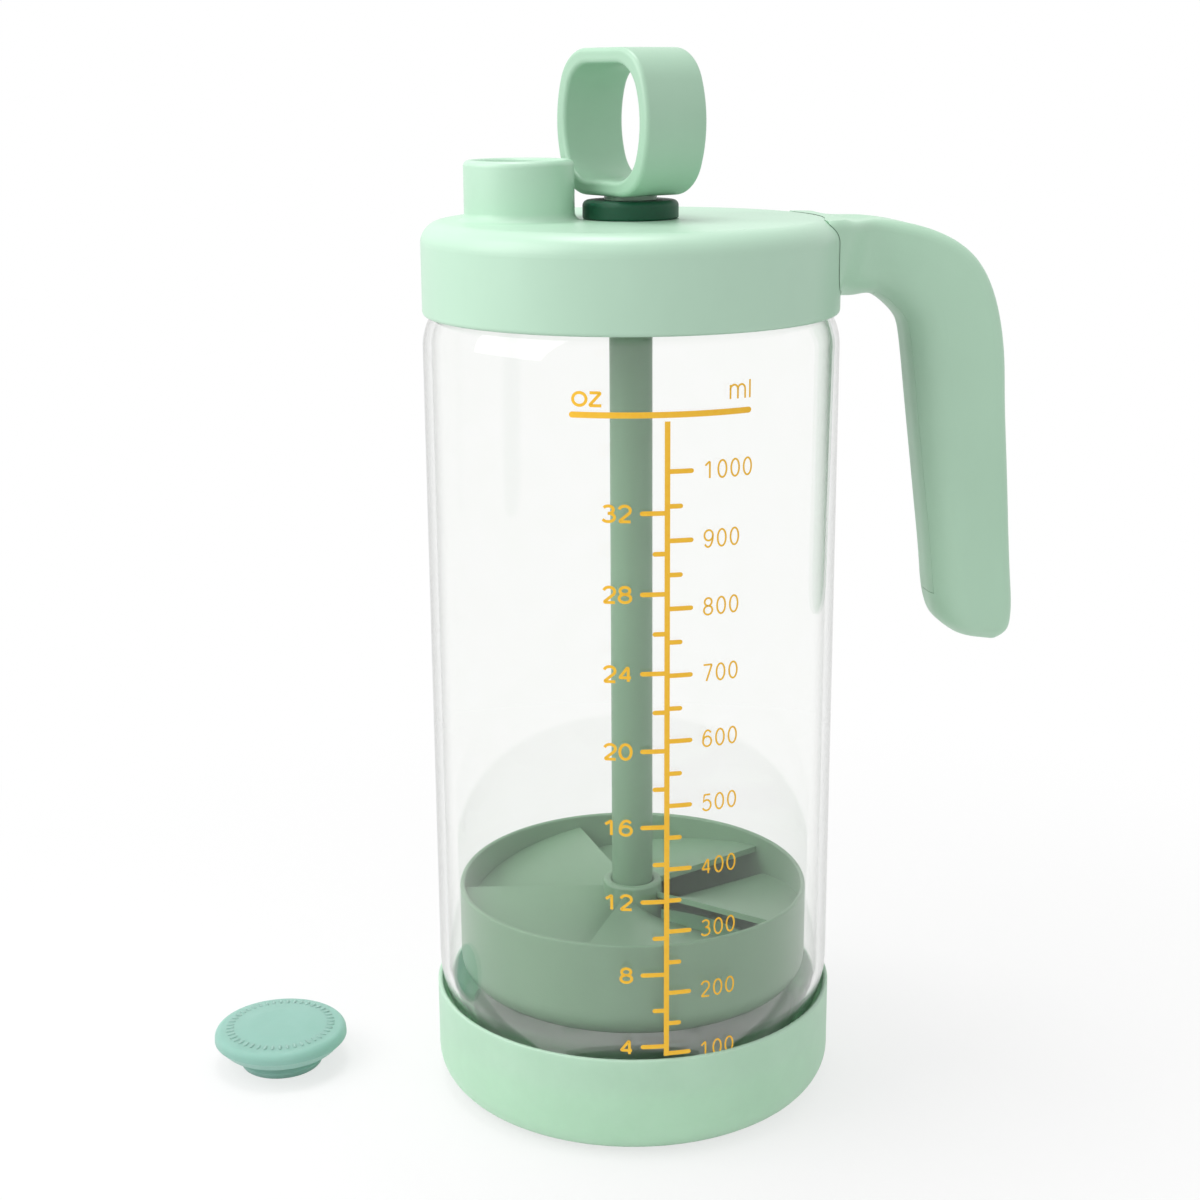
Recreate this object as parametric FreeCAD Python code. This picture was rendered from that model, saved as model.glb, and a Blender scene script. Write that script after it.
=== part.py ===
import FreeCAD, Part
import math
import os

# Formula pitcher. A glass jar stands in a soft boot and is closed by a screw lid with a
# pouring spout and a side handle. A plunger pumps a bladed wheel up and down in the milk.
# Millimetres, +Z up. The origin is the middle of the foot, +X points to the handle and
# -Y to the side of the jar that carries the scale.

os.makedirs("parts", exist_ok=True)

# Gaps between pieces
SEAT_GAP = 0.05        # pieces that rest on each other
RUNNING_GAP = 0.05     # round a shaft that turns or slides
SEAM_GAP = 0.12        # round a piece that is snapped or glued in
FREE_GAP = 0.4         # pieces that pass each other without touching

EDGE_SHARE = 0.4       # radius of a softened edge over the thickness of its wall
SMALL_EDGE = 0.3       # radius of the small edges on turned pieces

# Boot
BOOT_FLOOR = 3.0
BOOT_WALL = 1.1
BOOT_PROUD = 0.7       # how far the boot stands out from the jar
BOOT_HEIGHT = 25.2
BOOT_FOOT_ROUND = 8.0
BOOT_CRADLE_HEIGHT = 15.0
BOOT_GROOVE_RADIUS = 33.0
BOOT_GROOVE_WIDTH = 3.0
BOOT_GROOVE_DEPTH = 0.6

# Jar
JAR_RADIUS = 48.0
JAR_HEIGHT = 203.85    # from its own bottom to the lip
GLASS_WALL = 2.0
JAR_FOOT_ROUND = 30.0
SHOULDER_DROP = 20.1   # from the lip down to where the wall's line meets the shoulder
SHOULDER_ROUND = 13.7
SHOULDER_SLOPE = 35.0  # degrees from upright
NECK_STEP = 3.1        # how far the neck is set in from the wall
NECK_WALL = 1.8
NECK_ROUND = 1.5

# Lid
LID_HEIGHT = 21.1
LID_SET_IN = 0.1       # how far the lid is set in from the jar's wall
LID_SKIRT = 1.6
LID_PLATE = 2.4
LID_TOP_ROUND = 5.0
LID_INNER_ROUND = 3.0
LID_EDGE_OUTSIDE = 0.95  # rounds of the skirt's lower edge
LID_EDGE_INSIDE = 0.5
GASKET_THICKNESS = 1.5
GASKET_EDGE = 0.3
GASKET_RIB_WIDTH = 1.1
GASKET_RIB_HEIGHT = 3.0

# Spout
SPOUT_RADIUS = 12.5
SPOUT_WALL = 2.65
SPOUT_HEIGHT = 13.4
SPOUT_RIM_OUTSIDE = 1.3  # rounds of the rim
SPOUT_RIM_INSIDE = 1.2
SPOUT_FLARE = 1.9
SPOUT_EDGE_LEDGE = 3.1 # flat ledge between the flare and the lid's rounded edge
STOPPER_LEDGE = 0.5    # width of the ledge inside the spout that a stopper meets
STOPPER_LEDGE_RISE = 0.8  # height of that ledge above the lid's top

# Plunger
ROD_RADIUS = 5.0
ROD_BORE = 2.6
SEAL_RADIUS = 10.95
SEAL_HEIGHT = 4.2
SEAL_NECK_RADIUS = 7.5
SEAL_UNDER_RADIUS = 9.5
SEAL_UNDER_HEIGHT = 2.0
SEAL_TOP_ROUND = 1.3
SEAL_UNDER_ROUND = 0.8
SEAL_EDGE = 0.5
RING_NECK_STEP = 1.0   # how far the ring's neck stands out from the rod
RING_NECK_HEIGHT = 1.0
RING_WIDTH = 35.5
RING_HEIGHT = 32.2
RING_DEPTH = 16.8
RING_WALL = 3.4
RING_EDGE = 1.1
RING_TURN = 26.7       # degrees about the plunger's axis
RING_SPIGOT_LENGTH = 18.0
RING_CORNER = 0.776    # corners of the ring's outline, over its half width
RING_SIDE = 1.088      # points towards which the sides bow out, over the half width
RING_CORNER_ROUND = 0.56  # rounds at both, over the half width
RING_SIDE_ROUND = 1.5

# Mixing wheel
WHEEL_TOP = 51.1       # height of the drum's rim above the ground, plunger down
WHEEL_HEIGHT = 24.6
DRUM_WALL = 1.2
DRUM_LIP_ROUND = 8.0
HUB_WALL = 2.15
HUB_HEIGHT = 20.0
HUB_BELOW_RIM = 0.9
HUB_SOCKET_DEPTH = 7.0
JOURNAL_RADIUS = 3.9
BLADE_COUNT = 5
BLADE_SPAN = 68.0      # degrees that one blade covers
BLADE_FIRST = 28.7     # direction of the first blade's high edge, degrees from +X
BLADE_HIGH = 3.0       # high edge below the drum's rim
BLADE_LOW = 9.6        # low edge below the drum's rim
BLADE_THICKNESS = 1.5
CAP_RADIUS = 6.4
CAP_HEIGHT = 2.4
CAP_DOME_ROUND = 1.44
CAP_EDGE = 0.4
CAP_SPIGOT_LENGTH = 9.0

# Handle
HANDLE_WALL = 2.2
ROOT_WIDTH = 40.0      # across the root where it starts inside the lid
ROOT_START = 6.4       # from there to the lid's side
GRIP_WIDTH = 20.0      # across the grip
TIP_WIDTH = 19.0
ROOT_TALL = 17.9       # from the root's top to its underside
BEND_REACH = 10.1      # from the lid's side to the outer bend's centre
OUTER_BEND = 29.0
INNER_BEND_REACH = 5.2
INNER_BEND = 11.7
HANDLE_TOP_DROP = 0.7  # how far the bend's top lies below the lid's
GRIP_LENGTH = 73.5     # from the outer bend down to the tip
GRIP_LEAN = 4.4        # degrees by which the outer side leans out
GRIP_TAPER = 2.9       # degrees by which the inner side closes on the outer side
TIP_SLANT = 2.4        # how much higher the tip ends on the inner side
TIP_HEIGHT = 8.5       # height of the tip's rounding
TIP_ROUND_INNER = 8.5  # how far the rounding draws in on the jar's side
TIP_ROUND_OUTER = 4.8
TIP_ROUND_SIDE = 6.0
INNER_ROUND = 0.42     # corner radii of the handle's section over its shorter side,
OUTER_ROUND = 0.14     # on the side of the jar and on the far side
LEAST_ROUND = 0.4      # corner radius that a hollow inside it keeps
ROOT_STEPS = 3         # stretches that the root is lofted in
BEND_STEP = 30         # degrees between the sections that the bends are lofted through
GRIP_STEPS = 5         # stretches that the grip is lofted in
TIP_STEPS = 4          # stretches that the tip's rounding is lofted in
HOLLOW_TIP_STEPS = 1   # how many of them the hollow inside takes part in
LOFT_DEGREE = 3        # keeps the skin from swinging between the sections
SPIGOT_LENGTH = 10.0
SPIGOT_WALL = 1.8
COVER_HALF_WIDTH = 5.2
COVER_LEDGE = 1.1      # width and depth of the ledge that the cover rests on
COVER_START = 8.5      # from the lid's side
COVER_END_ABOVE_TIP = 13.0
THUMB_REST_RADIUS = 30.0
THUMB_REST_DEPTH = 1.1
THUMB_REST_REACH = 6.0 # from the lid's side to the dish's middle

# Spout plug
PLUG_X = -88.4
PLUG_Y = 13.5
PLUG_HEAD_RADIUS = 16.6
PLUG_HEAD_HEIGHT = 6.0
PLUG_DOME = 1.0
PLUG_DOME_ROUND = 12.0
PLUG_FLAT = 0.45       # radius of the dome's flat middle over the head's radius
PLUG_SHOULDER = 1.8    # round where the dome meets the head's side
PLUG_DRAFT = 0.2       # how far the head's side leans in towards its top
PLUG_PARTING = 0.42    # height of the widest line over the head's height
PLUG_UNDERCUT = 2.4    # how far the head's underside is drawn in
PLUG_UNDER_ROUND = 1.2
PLUG_EDGE = 0.6
PLUG_SKIRT_RADIUS = 10.3
PLUG_SKIRT_HEIGHT = 4.6
PLUG_WALL = 1.8
PLUG_CEILING_ROUND = 0.8
PLUG_RIB = 0.35
PLUG_RIB_MIDDLE = 0.35 # heights of the rib's crest and of its upper end over the skirt's height
PLUG_RIB_END = 0.7

# Sizes that follow from those above
JAR_BOTTOM = BOOT_FLOOR + SEAT_GAP
JAR_LIP = JAR_BOTTOM + JAR_HEIGHT
NECK_RADIUS = JAR_RADIUS - NECK_STEP
NECK_BORE = NECK_RADIUS - NECK_WALL
BOOT_RADIUS = JAR_RADIUS + BOOT_PROUD
LID_RADIUS = JAR_RADIUS - LID_SET_IN
LID_BORE = LID_RADIUS - LID_SKIRT
LID_CEILING = JAR_LIP + GASKET_THICKNESS + 2 * SEAT_GAP
LID_TOP = LID_CEILING + LID_PLATE
LID_BOTTOM = LID_TOP - LID_HEIGHT
SPOUT_X = -(LID_RADIUS - LID_TOP_ROUND - SPOUT_EDGE_LEDGE - SPOUT_FLARE - SPOUT_RADIUS)
SPOUT_BORE = SPOUT_RADIUS - SPOUT_WALL
SPOUT_RIM = LID_TOP + SPOUT_HEIGHT
SEAL_TOP = LID_TOP + SEAT_GAP + SEAL_HEIGHT
RING_NECK_RADIUS = ROD_RADIUS + RING_NECK_STEP
RING_BOTTOM = SEAL_TOP + SEAT_GAP + RING_NECK_HEIGHT
DRUM_RADIUS = NECK_BORE - FREE_GAP
HUB_SOCKET = ROD_RADIUS + RUNNING_GAP
HUB_RADIUS = HUB_SOCKET + HUB_WALL
HUB_TOP = WHEEL_TOP - HUB_BELOW_RIM
ROD_SHOULDER = HUB_TOP - HUB_SOCKET_DEPTH
ROD_END = HUB_TOP - HUB_HEIGHT
OUTER_BEND_X = LID_RADIUS + BEND_REACH
OUTER_BEND_Z = LID_TOP - HANDLE_TOP_DROP - OUTER_BEND
INNER_BEND_X = LID_RADIUS + INNER_BEND_REACH
INNER_BEND_Z = LID_TOP - ROOT_TALL - INNER_BEND
OUTER_BEND_CENTRE = FreeCAD.Vector(OUTER_BEND_X, 0, OUTER_BEND_Z)
INNER_BEND_CENTRE = FreeCAD.Vector(INNER_BEND_X, 0, INNER_BEND_Z)
HANDLE_TIP_Z = OUTER_BEND_Z - GRIP_LENGTH


def save(name, shape):
    """Write one piece to its own file, as a clean solid."""
    solid = shape.removeSplitter()
    if not solid.isValid() or len(solid.Solids) != 1:
        raise ValueError("{}: not one valid solid".format(name))
    solid.Solids[0].exportStep("parts/{}.step".format(name))


def upright(x, z):
    """Point in the XZ plane."""
    return FreeCAD.Vector(x, 0, z)


def direction(degrees):
    """Unit vector in the XZ plane, turned from +X towards +Z."""
    angle = math.radians(degrees)
    return upright(math.cos(angle), math.sin(angle))


def rounded_outline(corners):
    """Closed outline in the XZ plane. Each corner is (x, z) or (x, z, radius)."""
    cuts = []
    for index, corner in enumerate(corners):
        point = upright(corner[0], corner[1])
        radius = corner[2] if len(corner) == 3 else 0
        if radius == 0:
            cuts.append((point, None, point))
            continue
        before = corners[index - 1]
        after = corners[(index + 1) % len(corners)]
        towards_before = (upright(before[0], before[1]) - point).normalize()
        towards_after = (upright(after[0], after[1]) - point).normalize()
        half_angle = towards_before.getAngle(towards_after) / 2
        tangent = radius / math.tan(half_angle)
        bisector = (towards_before + towards_after).normalize()
        middle = point + bisector * (radius / math.sin(half_angle) - radius)
        cuts.append((point + towards_before * tangent, middle, point + towards_after * tangent))
    edges = []
    for index, (start, middle, end) in enumerate(cuts):
        if middle is not None:
            edges.append(Part.Arc(start, middle, end).toShape())
        next_start = cuts[(index + 1) % len(cuts)][0]
        if end.distanceToPoint(next_start) > 1e-6:
            edges.append(Part.makeLine(end, next_start))
    return Part.Wire(edges)


def turned(corners):
    """Solid turned about the Z axis from a rounded outline."""
    face = Part.Face(rounded_outline(corners))
    return face.revolve(FreeCAD.Vector(), FreeCAD.Vector(0, 0, 1), 360)


def cylinder(radius, bottom, top, x=0, y=0):
    """Upright cylinder between two heights."""
    return Part.makeCylinder(radius, top - bottom, FreeCAD.Vector(x, y, bottom))


def slab(outline, width):
    """Outline in the XZ plane, extruded to a width that straddles the plane."""
    face = Part.Face(outline)
    face.translate(FreeCAD.Vector(0, -width / 2, 0))
    return face.extrude(FreeCAD.Vector(0, width, 0))


def jar_side(inset):
    """Corners of the jar's wall from foot to neck, moved inwards by a wall thickness."""
    slope = math.radians(SHOULDER_SLOPE)
    wall = JAR_RADIUS - inset
    neck = NECK_RADIUS - min(inset, NECK_WALL)
    shoulder = JAR_LIP - SHOULDER_DROP - inset * math.tan(slope / 2)
    neck_foot = shoulder + (wall - neck) / math.tan(slope)
    return [
        (wall, JAR_BOTTOM + inset, JAR_FOOT_ROUND - inset),
        (wall, shoulder, SHOULDER_ROUND - inset),
        (neck, neck_foot, NECK_ROUND),
    ]


def glass_jar():
    """Jar with an even wall, a drawn-in shoulder and a plain neck."""
    lip_round = NECK_WALL * EDGE_SHARE
    outside = jar_side(0)
    inside = list(reversed(jar_side(GLASS_WALL)))
    lip = [(NECK_RADIUS, JAR_LIP, lip_round), (NECK_BORE, JAR_LIP, lip_round)]
    floor = [(0, JAR_BOTTOM + GLASS_WALL)]
    return turned([(0, JAR_BOTTOM)] + outside + lip + inside + floor)


def base_boot():
    """Cup that cradles the jar's round foot and leaves a slit at its rim."""
    inner_wall = BOOT_RADIUS - BOOT_WALL
    body = turned([
        (0, 0),
        (BOOT_RADIUS, 0, BOOT_FOOT_ROUND),
        (BOOT_RADIUS, BOOT_HEIGHT, BOOT_WALL * EDGE_SHARE),
        (inner_wall, BOOT_HEIGHT, BOOT_WALL * EDGE_SHARE),
        (inner_wall, BOOT_CRADLE_HEIGHT, 2 * BOOT_WALL),
        (0, BOOT_CRADLE_HEIGHT),
    ])
    seat = turned([
        (0, JAR_BOTTOM - SEAT_GAP),
        (JAR_RADIUS + SEAT_GAP, JAR_BOTTOM - SEAT_GAP, JAR_FOOT_ROUND + SEAT_GAP),
        (JAR_RADIUS + SEAT_GAP, JAR_LIP),
        (0, JAR_LIP),
    ])
    groove_outer = cylinder(BOOT_GROOVE_RADIUS + BOOT_GROOVE_WIDTH, 0, BOOT_GROOVE_DEPTH)
    groove = groove_outer.cut(cylinder(BOOT_GROOVE_RADIUS, 0, BOOT_GROOVE_DEPTH))
    return body.cut(seat).cut(groove)


def lid_gasket():
    """Flat ring between the lip and the lid, held round the lid's inner rib."""
    bottom = JAR_LIP + SEAT_GAP
    outer = LID_BORE - SEAM_GAP
    inner = NECK_BORE - GASKET_RIB_WIDTH / 2 + SEAM_GAP
    return turned([
        (inner, bottom, GASKET_EDGE),
        (outer, bottom, GASKET_EDGE),
        (outer, bottom + GASKET_THICKNESS, GASKET_EDGE),
        (inner, bottom + GASKET_THICKNESS, GASKET_EDGE),
    ])


def lid_cap():
    """Lid with its spout, its gasket rib and the hollow spigot that carries the handle."""
    rib_outer = NECK_BORE - GASKET_RIB_WIDTH / 2
    rib_inner = rib_outer - GASKET_RIB_WIDTH
    rib_bottom = LID_CEILING - GASKET_RIB_HEIGHT
    rib_edge = GASKET_RIB_WIDTH * EDGE_SHARE
    shell = turned([
        (0, LID_TOP),
        (LID_RADIUS, LID_TOP, LID_TOP_ROUND),
        (LID_RADIUS, LID_BOTTOM, LID_EDGE_OUTSIDE),
        (LID_BORE, LID_BOTTOM, LID_EDGE_INSIDE),
        (LID_BORE, LID_CEILING, SEAM_GAP),
        (rib_outer, LID_CEILING),
        (rib_outer, rib_bottom, rib_edge),
        (rib_inner, rib_bottom, rib_edge),
        (rib_inner, LID_CEILING, LID_INNER_ROUND),
        (0, LID_CEILING),
    ])
    pour_radius = SPOUT_BORE - STOPPER_LEDGE
    ledge = LID_TOP + STOPPER_LEDGE_RISE
    spout = turned([
        (pour_radius, LID_CEILING),
        (pour_radius, ledge),
        (SPOUT_BORE, ledge),
        (SPOUT_BORE, SPOUT_RIM, SPOUT_RIM_INSIDE),
        (SPOUT_RADIUS, SPOUT_RIM, SPOUT_RIM_OUTSIDE),
        (SPOUT_RADIUS, LID_TOP, SPOUT_FLARE),
        (SPOUT_RADIUS + SPOUT_FLARE + SEAM_GAP, LID_TOP),
        (SPOUT_RADIUS + SPOUT_FLARE + SEAM_GAP, LID_CEILING),
    ])
    spout.translate(FreeCAD.Vector(SPOUT_X, 0, 0))
    pour_hole = cylinder(pour_radius, LID_CEILING - 1, LID_TOP + 1, SPOUT_X)
    seal_hole = cylinder(SEAL_NECK_RADIUS + RUNNING_GAP, LID_CEILING - 1, LID_TOP + 1)
    lid = shell.cut(pour_hole).fuse(spout).cut(seal_hole)
    return lid.fuse(handle_spigot())


def plunger_seal():
    """Grommet with one flange above the lid and one below it."""
    bore = ROD_RADIUS + RUNNING_GAP
    under = LID_CEILING - SEAT_GAP
    over = LID_TOP + SEAT_GAP
    return turned([
        (bore, under - SEAL_UNDER_HEIGHT, SEAL_EDGE),
        (SEAL_UNDER_RADIUS, under - SEAL_UNDER_HEIGHT, SEAL_UNDER_ROUND),
        (SEAL_UNDER_RADIUS, under, SMALL_EDGE),
        (SEAL_NECK_RADIUS, under),
        (SEAL_NECK_RADIUS, over),
        (SEAL_RADIUS, over, SEAL_EDGE),
        (SEAL_RADIUS, SEAL_TOP, SEAL_TOP_ROUND),
        (bore, SEAL_TOP, SEAL_EDGE),
    ])


def ring_outline(inset):
    """Squared outline of the finger ring with bowed sides, moved inwards."""
    half_width = RING_WIDTH / 2 - inset
    half_height = RING_HEIGHT / 2 - inset
    middle = RING_BOTTOM + RING_HEIGHT / 2
    corner_x = RING_CORNER * half_width
    corner_round = RING_CORNER_ROUND * half_width
    right = [
        (corner_x, middle - half_height, corner_round),
        (RING_SIDE * half_width, middle, RING_SIDE_ROUND * half_width),
        (corner_x, middle + half_height, corner_round),
    ]
    left = [(-x, z, radius) for x, z, radius in reversed(right)]
    return rounded_outline(right + left)


def finger_ring():
    """Ring with softened edges, a short neck and a spigot that fills the rod's top."""
    band = slab(ring_outline(0), RING_DEPTH).cut(slab(ring_outline(RING_WALL), RING_DEPTH))
    band = band.makeFillet(RING_EDGE, face_edges(band, RING_DEPTH / 2))
    band.rotate(FreeCAD.Vector(), FreeCAD.Vector(0, 0, 1), 90 + RING_TURN)
    neck_bottom = RING_BOTTOM - RING_NECK_HEIGHT
    inside_wall = RING_BOTTOM + RING_WALL / 2
    neck = cylinder(RING_NECK_RADIUS, neck_bottom, inside_wall)
    spigot = cylinder(ROD_BORE - SEAT_GAP, neck_bottom - RING_SPIGOT_LENGTH, inside_wall)
    return band.fuse([neck, spigot])


def face_edges(shape, distance):
    """Edges that lie wholly in one of the two planes y = distance and y = -distance."""
    flat = []
    for edge in shape.Edges:
        box = edge.BoundBox
        if box.YLength < 1e-6 and abs(abs(box.YMin) - distance) < 1e-6:
            flat.append(edge)
    return flat


def plunger_rod():
    """Tube with a shoulder and a thinner journal that the wheel turns on."""
    top = RING_BOTTOM - RING_NECK_HEIGHT - SEAT_GAP
    return turned([
        (ROD_BORE, ROD_END),
        (JOURNAL_RADIUS, ROD_END, SMALL_EDGE),
        (JOURNAL_RADIUS, ROD_SHOULDER),
        (ROD_RADIUS, ROD_SHOULDER, SMALL_EDGE),
        (ROD_RADIUS, top, SMALL_EDGE),
        (ROD_BORE, top),
    ])


def wheel_cap():
    """Domed cap under the wheel, pressed into the rod's lower end."""
    head_top = ROD_END - SEAT_GAP
    head = turned([
        (0, head_top - CAP_HEIGHT),
        (CAP_RADIUS, head_top - CAP_HEIGHT, CAP_DOME_ROUND),
        (CAP_RADIUS, head_top, CAP_EDGE),
        (0, head_top),
    ])
    return head.fuse(cylinder(ROD_BORE - SEAT_GAP, head_top, head_top + CAP_SPIGOT_LENGTH))


def wheel_hub():
    """Hub with a socket for the rod above and a bearing for its journal below."""
    bearing = JOURNAL_RADIUS + RUNNING_GAP
    seat = ROD_SHOULDER - SEAT_GAP
    bottom = ROD_END + SEAT_GAP
    edge = HUB_WALL * EDGE_SHARE
    return turned([
        (bearing, bottom),
        (HUB_RADIUS, bottom, edge),
        (HUB_RADIUS, HUB_TOP, edge),
        (HUB_SOCKET, HUB_TOP, edge),
        (HUB_SOCKET, seat),
        (bearing, seat),
    ])


def wheel_drum():
    """Open drum whose lower edge curls inwards."""
    inner = DRUM_RADIUS - DRUM_WALL
    bottom = WHEEL_TOP - WHEEL_HEIGHT
    curl_end = DRUM_RADIUS - DRUM_LIP_ROUND
    edge = DRUM_WALL * EDGE_SHARE
    return turned([
        (curl_end, bottom, edge),
        (DRUM_RADIUS, bottom, DRUM_LIP_ROUND - edge),
        (DRUM_RADIUS, WHEEL_TOP, edge),
        (inner, WHEEL_TOP, edge),
        (inner, bottom + DRUM_WALL, DRUM_LIP_ROUND - edge - DRUM_WALL),
        (curl_end, bottom + DRUM_WALL, edge),
    ])


def pitched_blade(first_angle):
    """Blade that falls steadily from its high edge to its low edge round the hub."""
    inner = HUB_SOCKET + HUB_WALL / 2
    outer = DRUM_RADIUS - DRUM_WALL / 2
    fall = BLADE_LOW - BLADE_HIGH
    pitch = fall * 360 / BLADE_SPAN
    left_handed = True
    root = Part.makeHelix(pitch, fall, inner, 0, left_handed)
    rim = Part.makeHelix(pitch, fall, outer, 0, left_handed)
    surface = Part.makeRuledSurface(root.Edges[0], rim.Edges[0])
    blade = surface.extrude(FreeCAD.Vector(0, 0, -BLADE_THICKNESS))
    blade.translate(FreeCAD.Vector(0, 0, WHEEL_TOP - BLADE_LOW))
    blade.rotate(FreeCAD.Vector(), FreeCAD.Vector(0, 0, 1), first_angle + BLADE_SPAN)
    return blade


def mixing_wheel():
    """Hub, blades and drum in one moulding."""
    blades = []
    for index in range(BLADE_COUNT):
        blades.append(pitched_blade(BLADE_FIRST + index * 360 / BLADE_COUNT))
    return wheel_drum().fuse([wheel_hub()] + blades)


def root_station(share):
    """Inner point, outer point and width at a share of the way from the root to the bends."""
    inner, outer, width = bend_station(90)
    start = LID_RADIUS - ROOT_START
    flare = (1 + math.cos(math.pi * share)) / 2
    inner.x = start + (inner.x - start) * share
    outer.x = start + (outer.x - start) * share
    outer.z += HANDLE_TOP_DROP * flare
    return inner, outer, width + (ROOT_WIDTH - width) * flare


def bend_station(angle):
    """Inner point, outer point and width in the bends, from 90 degrees down to 0."""
    inner = INNER_BEND_CENTRE + direction(angle) * INNER_BEND
    outer = OUTER_BEND_CENTRE + direction(angle) * OUTER_BEND
    return inner, outer, GRIP_WIDTH


def grip_station(share):
    """Inner point, outer point and width at a share of the way down the grip."""
    inner, outer, width = bend_station(0)
    inner += direction(GRIP_LEAN + GRIP_TAPER - 90) * ((GRIP_LENGTH - TIP_SLANT) * share)
    outer += direction(GRIP_LEAN - 90) * (GRIP_LENGTH * share)
    return inner, outer, width + (TIP_WIDTH - GRIP_WIDTH) * share


def tip_station(angle):
    """Station of the rounded tip, from 0 degrees at its start to 90 at its very end."""
    rise = TIP_HEIGHT * (1 - math.sin(math.radians(angle)))
    drawn_in = 1 - math.cos(math.radians(angle))
    inner, outer, width = grip_station(1 - rise / GRIP_LENGTH)
    across = (outer - inner).normalize()
    inner += across * (TIP_ROUND_INNER * drawn_in)
    outer -= across * (TIP_ROUND_OUTER * drawn_in)
    return inner, outer, width - 2 * TIP_ROUND_SIDE * drawn_in


def handle_stations(tip_steps):
    """Inner point, outer point and width of the handle, from inside the lid to the tip."""
    stations = [root_station(step / ROOT_STEPS) for step in range(ROOT_STEPS)]
    for angle in range(90, -1, -BEND_STEP):
        stations.append(bend_station(angle))
    for step in range(1, GRIP_STEPS + 1):
        stations.append(grip_station((1 - TIP_HEIGHT / GRIP_LENGTH) * step / GRIP_STEPS))
    for step in range(1, tip_steps + 1):
        stations.append(tip_station(90 * step / TIP_STEPS))
    return stations


def handle_section(inner, outer, width, inset):
    """Rounded rectangle that spans two points in the XZ plane and a width along Y."""
    along = outer - inner
    tall = along.Length - 2 * inset
    wide = width - 2 * inset
    shorter = min(along.Length, width)
    inner_round = max(INNER_ROUND * shorter - inset, LEAST_ROUND)
    outer_round = max(OUTER_ROUND * shorter - inset, LEAST_ROUND)
    outline = rounded_outline([
        (-tall / 2, -wide / 2, inner_round),
        (tall / 2, -wide / 2, outer_round),
        (tall / 2, wide / 2, outer_round),
        (-tall / 2, wide / 2, inner_round),
    ])
    across = FreeCAD.Vector(0, 1, 0)
    turn = FreeCAD.Rotation(along, across.cross(along), across, "XZY")
    outline.Placement = FreeCAD.Placement((inner + outer) / 2, turn)
    return outline


def handle_body(inset):
    """Handle from inside the lid to its tip, or the hollow that lies an inset inside it."""
    stations = handle_stations(HOLLOW_TIP_STEPS if inset > 0 else TIP_STEPS)
    sections = [handle_section(*station, inset) for station in stations]
    solid, ruled, closed = True, False, False
    return Part.makeLoft(sections, solid, ruled, closed, LOFT_DEGREE)


def lid_envelope(gap):
    """Outside of the lid without its spout, moved outwards."""
    return turned([
        (0, LID_BOTTOM - LID_HEIGHT),
        (LID_RADIUS + gap, LID_BOTTOM - LID_HEIGHT),
        (LID_RADIUS + gap, LID_TOP + gap, LID_TOP_ROUND + gap),
        (0, LID_TOP + gap),
    ])


def handle_spigot():
    """Hollow spigot on the lid's side that fills the handle's root."""
    inset = HANDLE_WALL + SEAM_GAP
    skirt_middle = LID_BORE + LID_SKIRT / 2
    reach = cylinder(LID_RADIUS + SPIGOT_LENGTH, LID_BOTTOM, LID_TOP)
    spigot = handle_body(inset).common(reach)
    spigot = spigot.cut(cylinder(skirt_middle, LID_BOTTOM, LID_TOP))
    core = handle_body(inset + SPIGOT_WALL)
    core = core.cut(cylinder(LID_RADIUS + SPIGOT_WALL, LID_BOTTOM, LID_TOP))
    return spigot.cut(core)


def cover_region(inset):
    """Side view of the stretch of the handle that is closed by the cover."""
    start = LID_RADIUS + COVER_START + inset
    end = HANDLE_TIP_Z + COVER_END_ABOVE_TIP + inset
    root_middle = INNER_BEND_Z + INNER_BEND + ROOT_TALL / 2
    grip_middle = (INNER_BEND_X + INNER_BEND + OUTER_BEND_X + OUTER_BEND) / 2
    tip_middle = grip_middle + GRIP_LENGTH * math.tan(math.radians(GRIP_LEAN + GRIP_TAPER / 2))
    bend = (INNER_BEND + OUTER_BEND) / 2
    return rounded_outline([
        (start, end),
        (start, root_middle),
        (grip_middle, root_middle, bend),
        (tip_middle, end),
    ])


def handle_shell():
    """Hollow handle with a stepped slot along the side that faces the jar."""
    ledge_half_width = COVER_HALF_WIDTH - COVER_LEDGE
    over_lid = cylinder(LID_RADIUS + HANDLE_WALL, LID_TOP, LID_TOP + HANDLE_WALL)
    outside = handle_body(0).cut(lid_envelope(SEAM_GAP)).cut(over_lid)
    recess = slab(cover_region(0), 2 * COVER_HALF_WIDTH).cut(handle_body(COVER_LEDGE))
    passage = slab(cover_region(COVER_LEDGE), 2 * ledge_half_width)
    dish_height = LID_TOP + THUMB_REST_RADIUS - THUMB_REST_DEPTH
    dish = Part.makeSphere(THUMB_REST_RADIUS, upright(LID_RADIUS + THUMB_REST_REACH, dish_height))
    return outside.cut(handle_body(HANDLE_WALL)).cut(recess).cut(passage).cut(dish)


def handle_cover():
    """Strip that fills the handle's slot, with a tongue that reaches past the ledge."""
    half_width = COVER_HALF_WIDTH - SEAM_GAP
    tongue_half_width = half_width - COVER_LEDGE
    outside = handle_body(0)
    plate = slab(cover_region(SEAM_GAP), 2 * half_width).common(outside)
    plate = plate.cut(handle_body(COVER_LEDGE - SEAT_GAP))
    tongue = slab(cover_region(COVER_LEDGE + SEAM_GAP), 2 * tongue_half_width).common(outside)
    tongue = tongue.cut(handle_body(HANDLE_WALL))
    return plate.fuse(tongue)


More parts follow.
